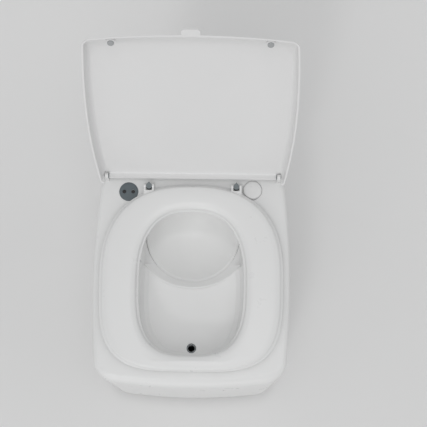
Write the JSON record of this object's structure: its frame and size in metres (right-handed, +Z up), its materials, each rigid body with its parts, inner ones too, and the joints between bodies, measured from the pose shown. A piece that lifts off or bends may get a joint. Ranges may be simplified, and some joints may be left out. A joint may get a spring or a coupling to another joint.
{
  "type": "dry flush toilet",
  "caption": "Free-standing dry toilet with a hood lid, oval seat, sloping urine tray with drain and a powered turning bowl over a bucket.",
  "frame": {"origin": "on the floor under the middle of the casing, on the middle foot's face", "axes": "+Z up, -Y towards the front where the sitter's legs are, +X towards the button's side"},
  "size_m": [0.406, 0.6023, 0.8547],
  "materials": {
    "white_plastic": "gloss white",
    "inner_plastic": "satin white",
    "grey_plastic": "fine matt grey",
    "dark_plastic": "matt black",
    "tank_plastic": "blow-moulded, natural",
    "gear_plastic": "natural moulding resin",
    "rubber": "matt",
    "steel": "plain zinc-plated",
    "board": "solder mask",
    "window": "polished dark window"
  },
  "bodies": {
    "body": {"base_tray": "inner_plastic", "floor_feet": "rubber", "outer_casing": "white_plastic", "top_deck": "white_plastic", "rear_panel": "white_plastic", "rear_panel_screws": "steel", "deck_screws": "steel", "bowl_insert": "inner_plastic", "drain_ring": "grey_plastic", "odour_trap": "rubber", "urine_tank": "tank_plastic", "tank_grommet": "rubber", "solids_bucket": "dark_plastic", "drop_collar": "rubber", "bowl_bush_left": "grey_plastic", "bowl_bush_right": "grey_plastic", "gearbox": "steel", "drive_motor": "dark_plastic", "motor_bracket": "steel", "motor_screws": "steel", "button_housing": "inner_plastic", "button_spring": "steel", "button_switch": "board", "sensor_face": "grey_plastic", "sensor_windows": "window", "sensor_nut": "grey_plastic", "lid_bracket_left": "white_plastic", "lid_bracket_right": "white_plastic", "seat_posts": "grey_plastic", "vent_spigot": "inner_plastic", "fan_frame": "dark_plastic", "fan_screws": "steel", "control_box": "dark_plastic", "control_cover": "grey_plastic", "power_inlet": "dark_plastic"},
    "turning_bowl": {"rotating_bowl": "inner_plastic", "bowl_shaft_left": "steel", "bowl_shaft_right": "steel", "shaft_clips": "steel", "bowl_gear": "gear_plastic"},
    "motor_output": {"drive_pinion": "gear_plastic", "motor_shaft": "steel"},
    "button": {"push_button": "white_plastic", "button_clip": "steel"},
    "lid_body": {"lid": "white_plastic", "lid_bumpers": "rubber", "lid_hinge_pins": "grey_plastic"},
    "seat_body": {"seat": "white_plastic", "seat_buffers": "rubber", "seat_hinge_pins": "steel"},
    "fan": {"fan_rotor": "dark_plastic"}
  },
  "joints": [
    {"name": "lid_hinge", "type": "hinge", "parent": "body", "child": "lid_body", "pos_m": [0, 0.185, 0.45], "axis": [1, 0, 0], "range_deg": [0, 113.5]},
    {"name": "seat_hinge", "type": "hinge", "parent": "body", "child": "seat_body", "pos_m": [0, 0.166, 0.439], "axis": [1, 0, 0], "range_deg": [-106, 0]},
    {"name": "button_press", "type": "slide", "parent": "body", "child": "button", "axis": [0, 0, -1], "range_m": [0, 0.003], "stiffness_N_per_m": 400, "springref_m": -0.004, "deforming": ["button_spring"]},
    {"name": "bowl_turn", "type": "hinge", "parent": "body", "child": "turning_bowl", "pos_m": [0, 0.088, 0.295], "axis": [1, 0, 0], "range_deg": [0, 180]},
    {"name": "pinion_turn", "type": "hinge", "parent": "body", "child": "motor_output", "pos_m": [0.1248, 0.12026, 0.24892], "axis": [1, 0, 0], "range_deg": [-720, 0]},
    {"name": "fan_spin", "type": "hinge", "parent": "body", "child": "fan", "pos_m": [0, 0.2475, 0.314], "axis": [0, 1, 0], "continuous": true}
  ],
  "couplings": [
    {"joint": "pinion_turn", "follows": "bowl_turn", "ratio": -4}
  ]
}
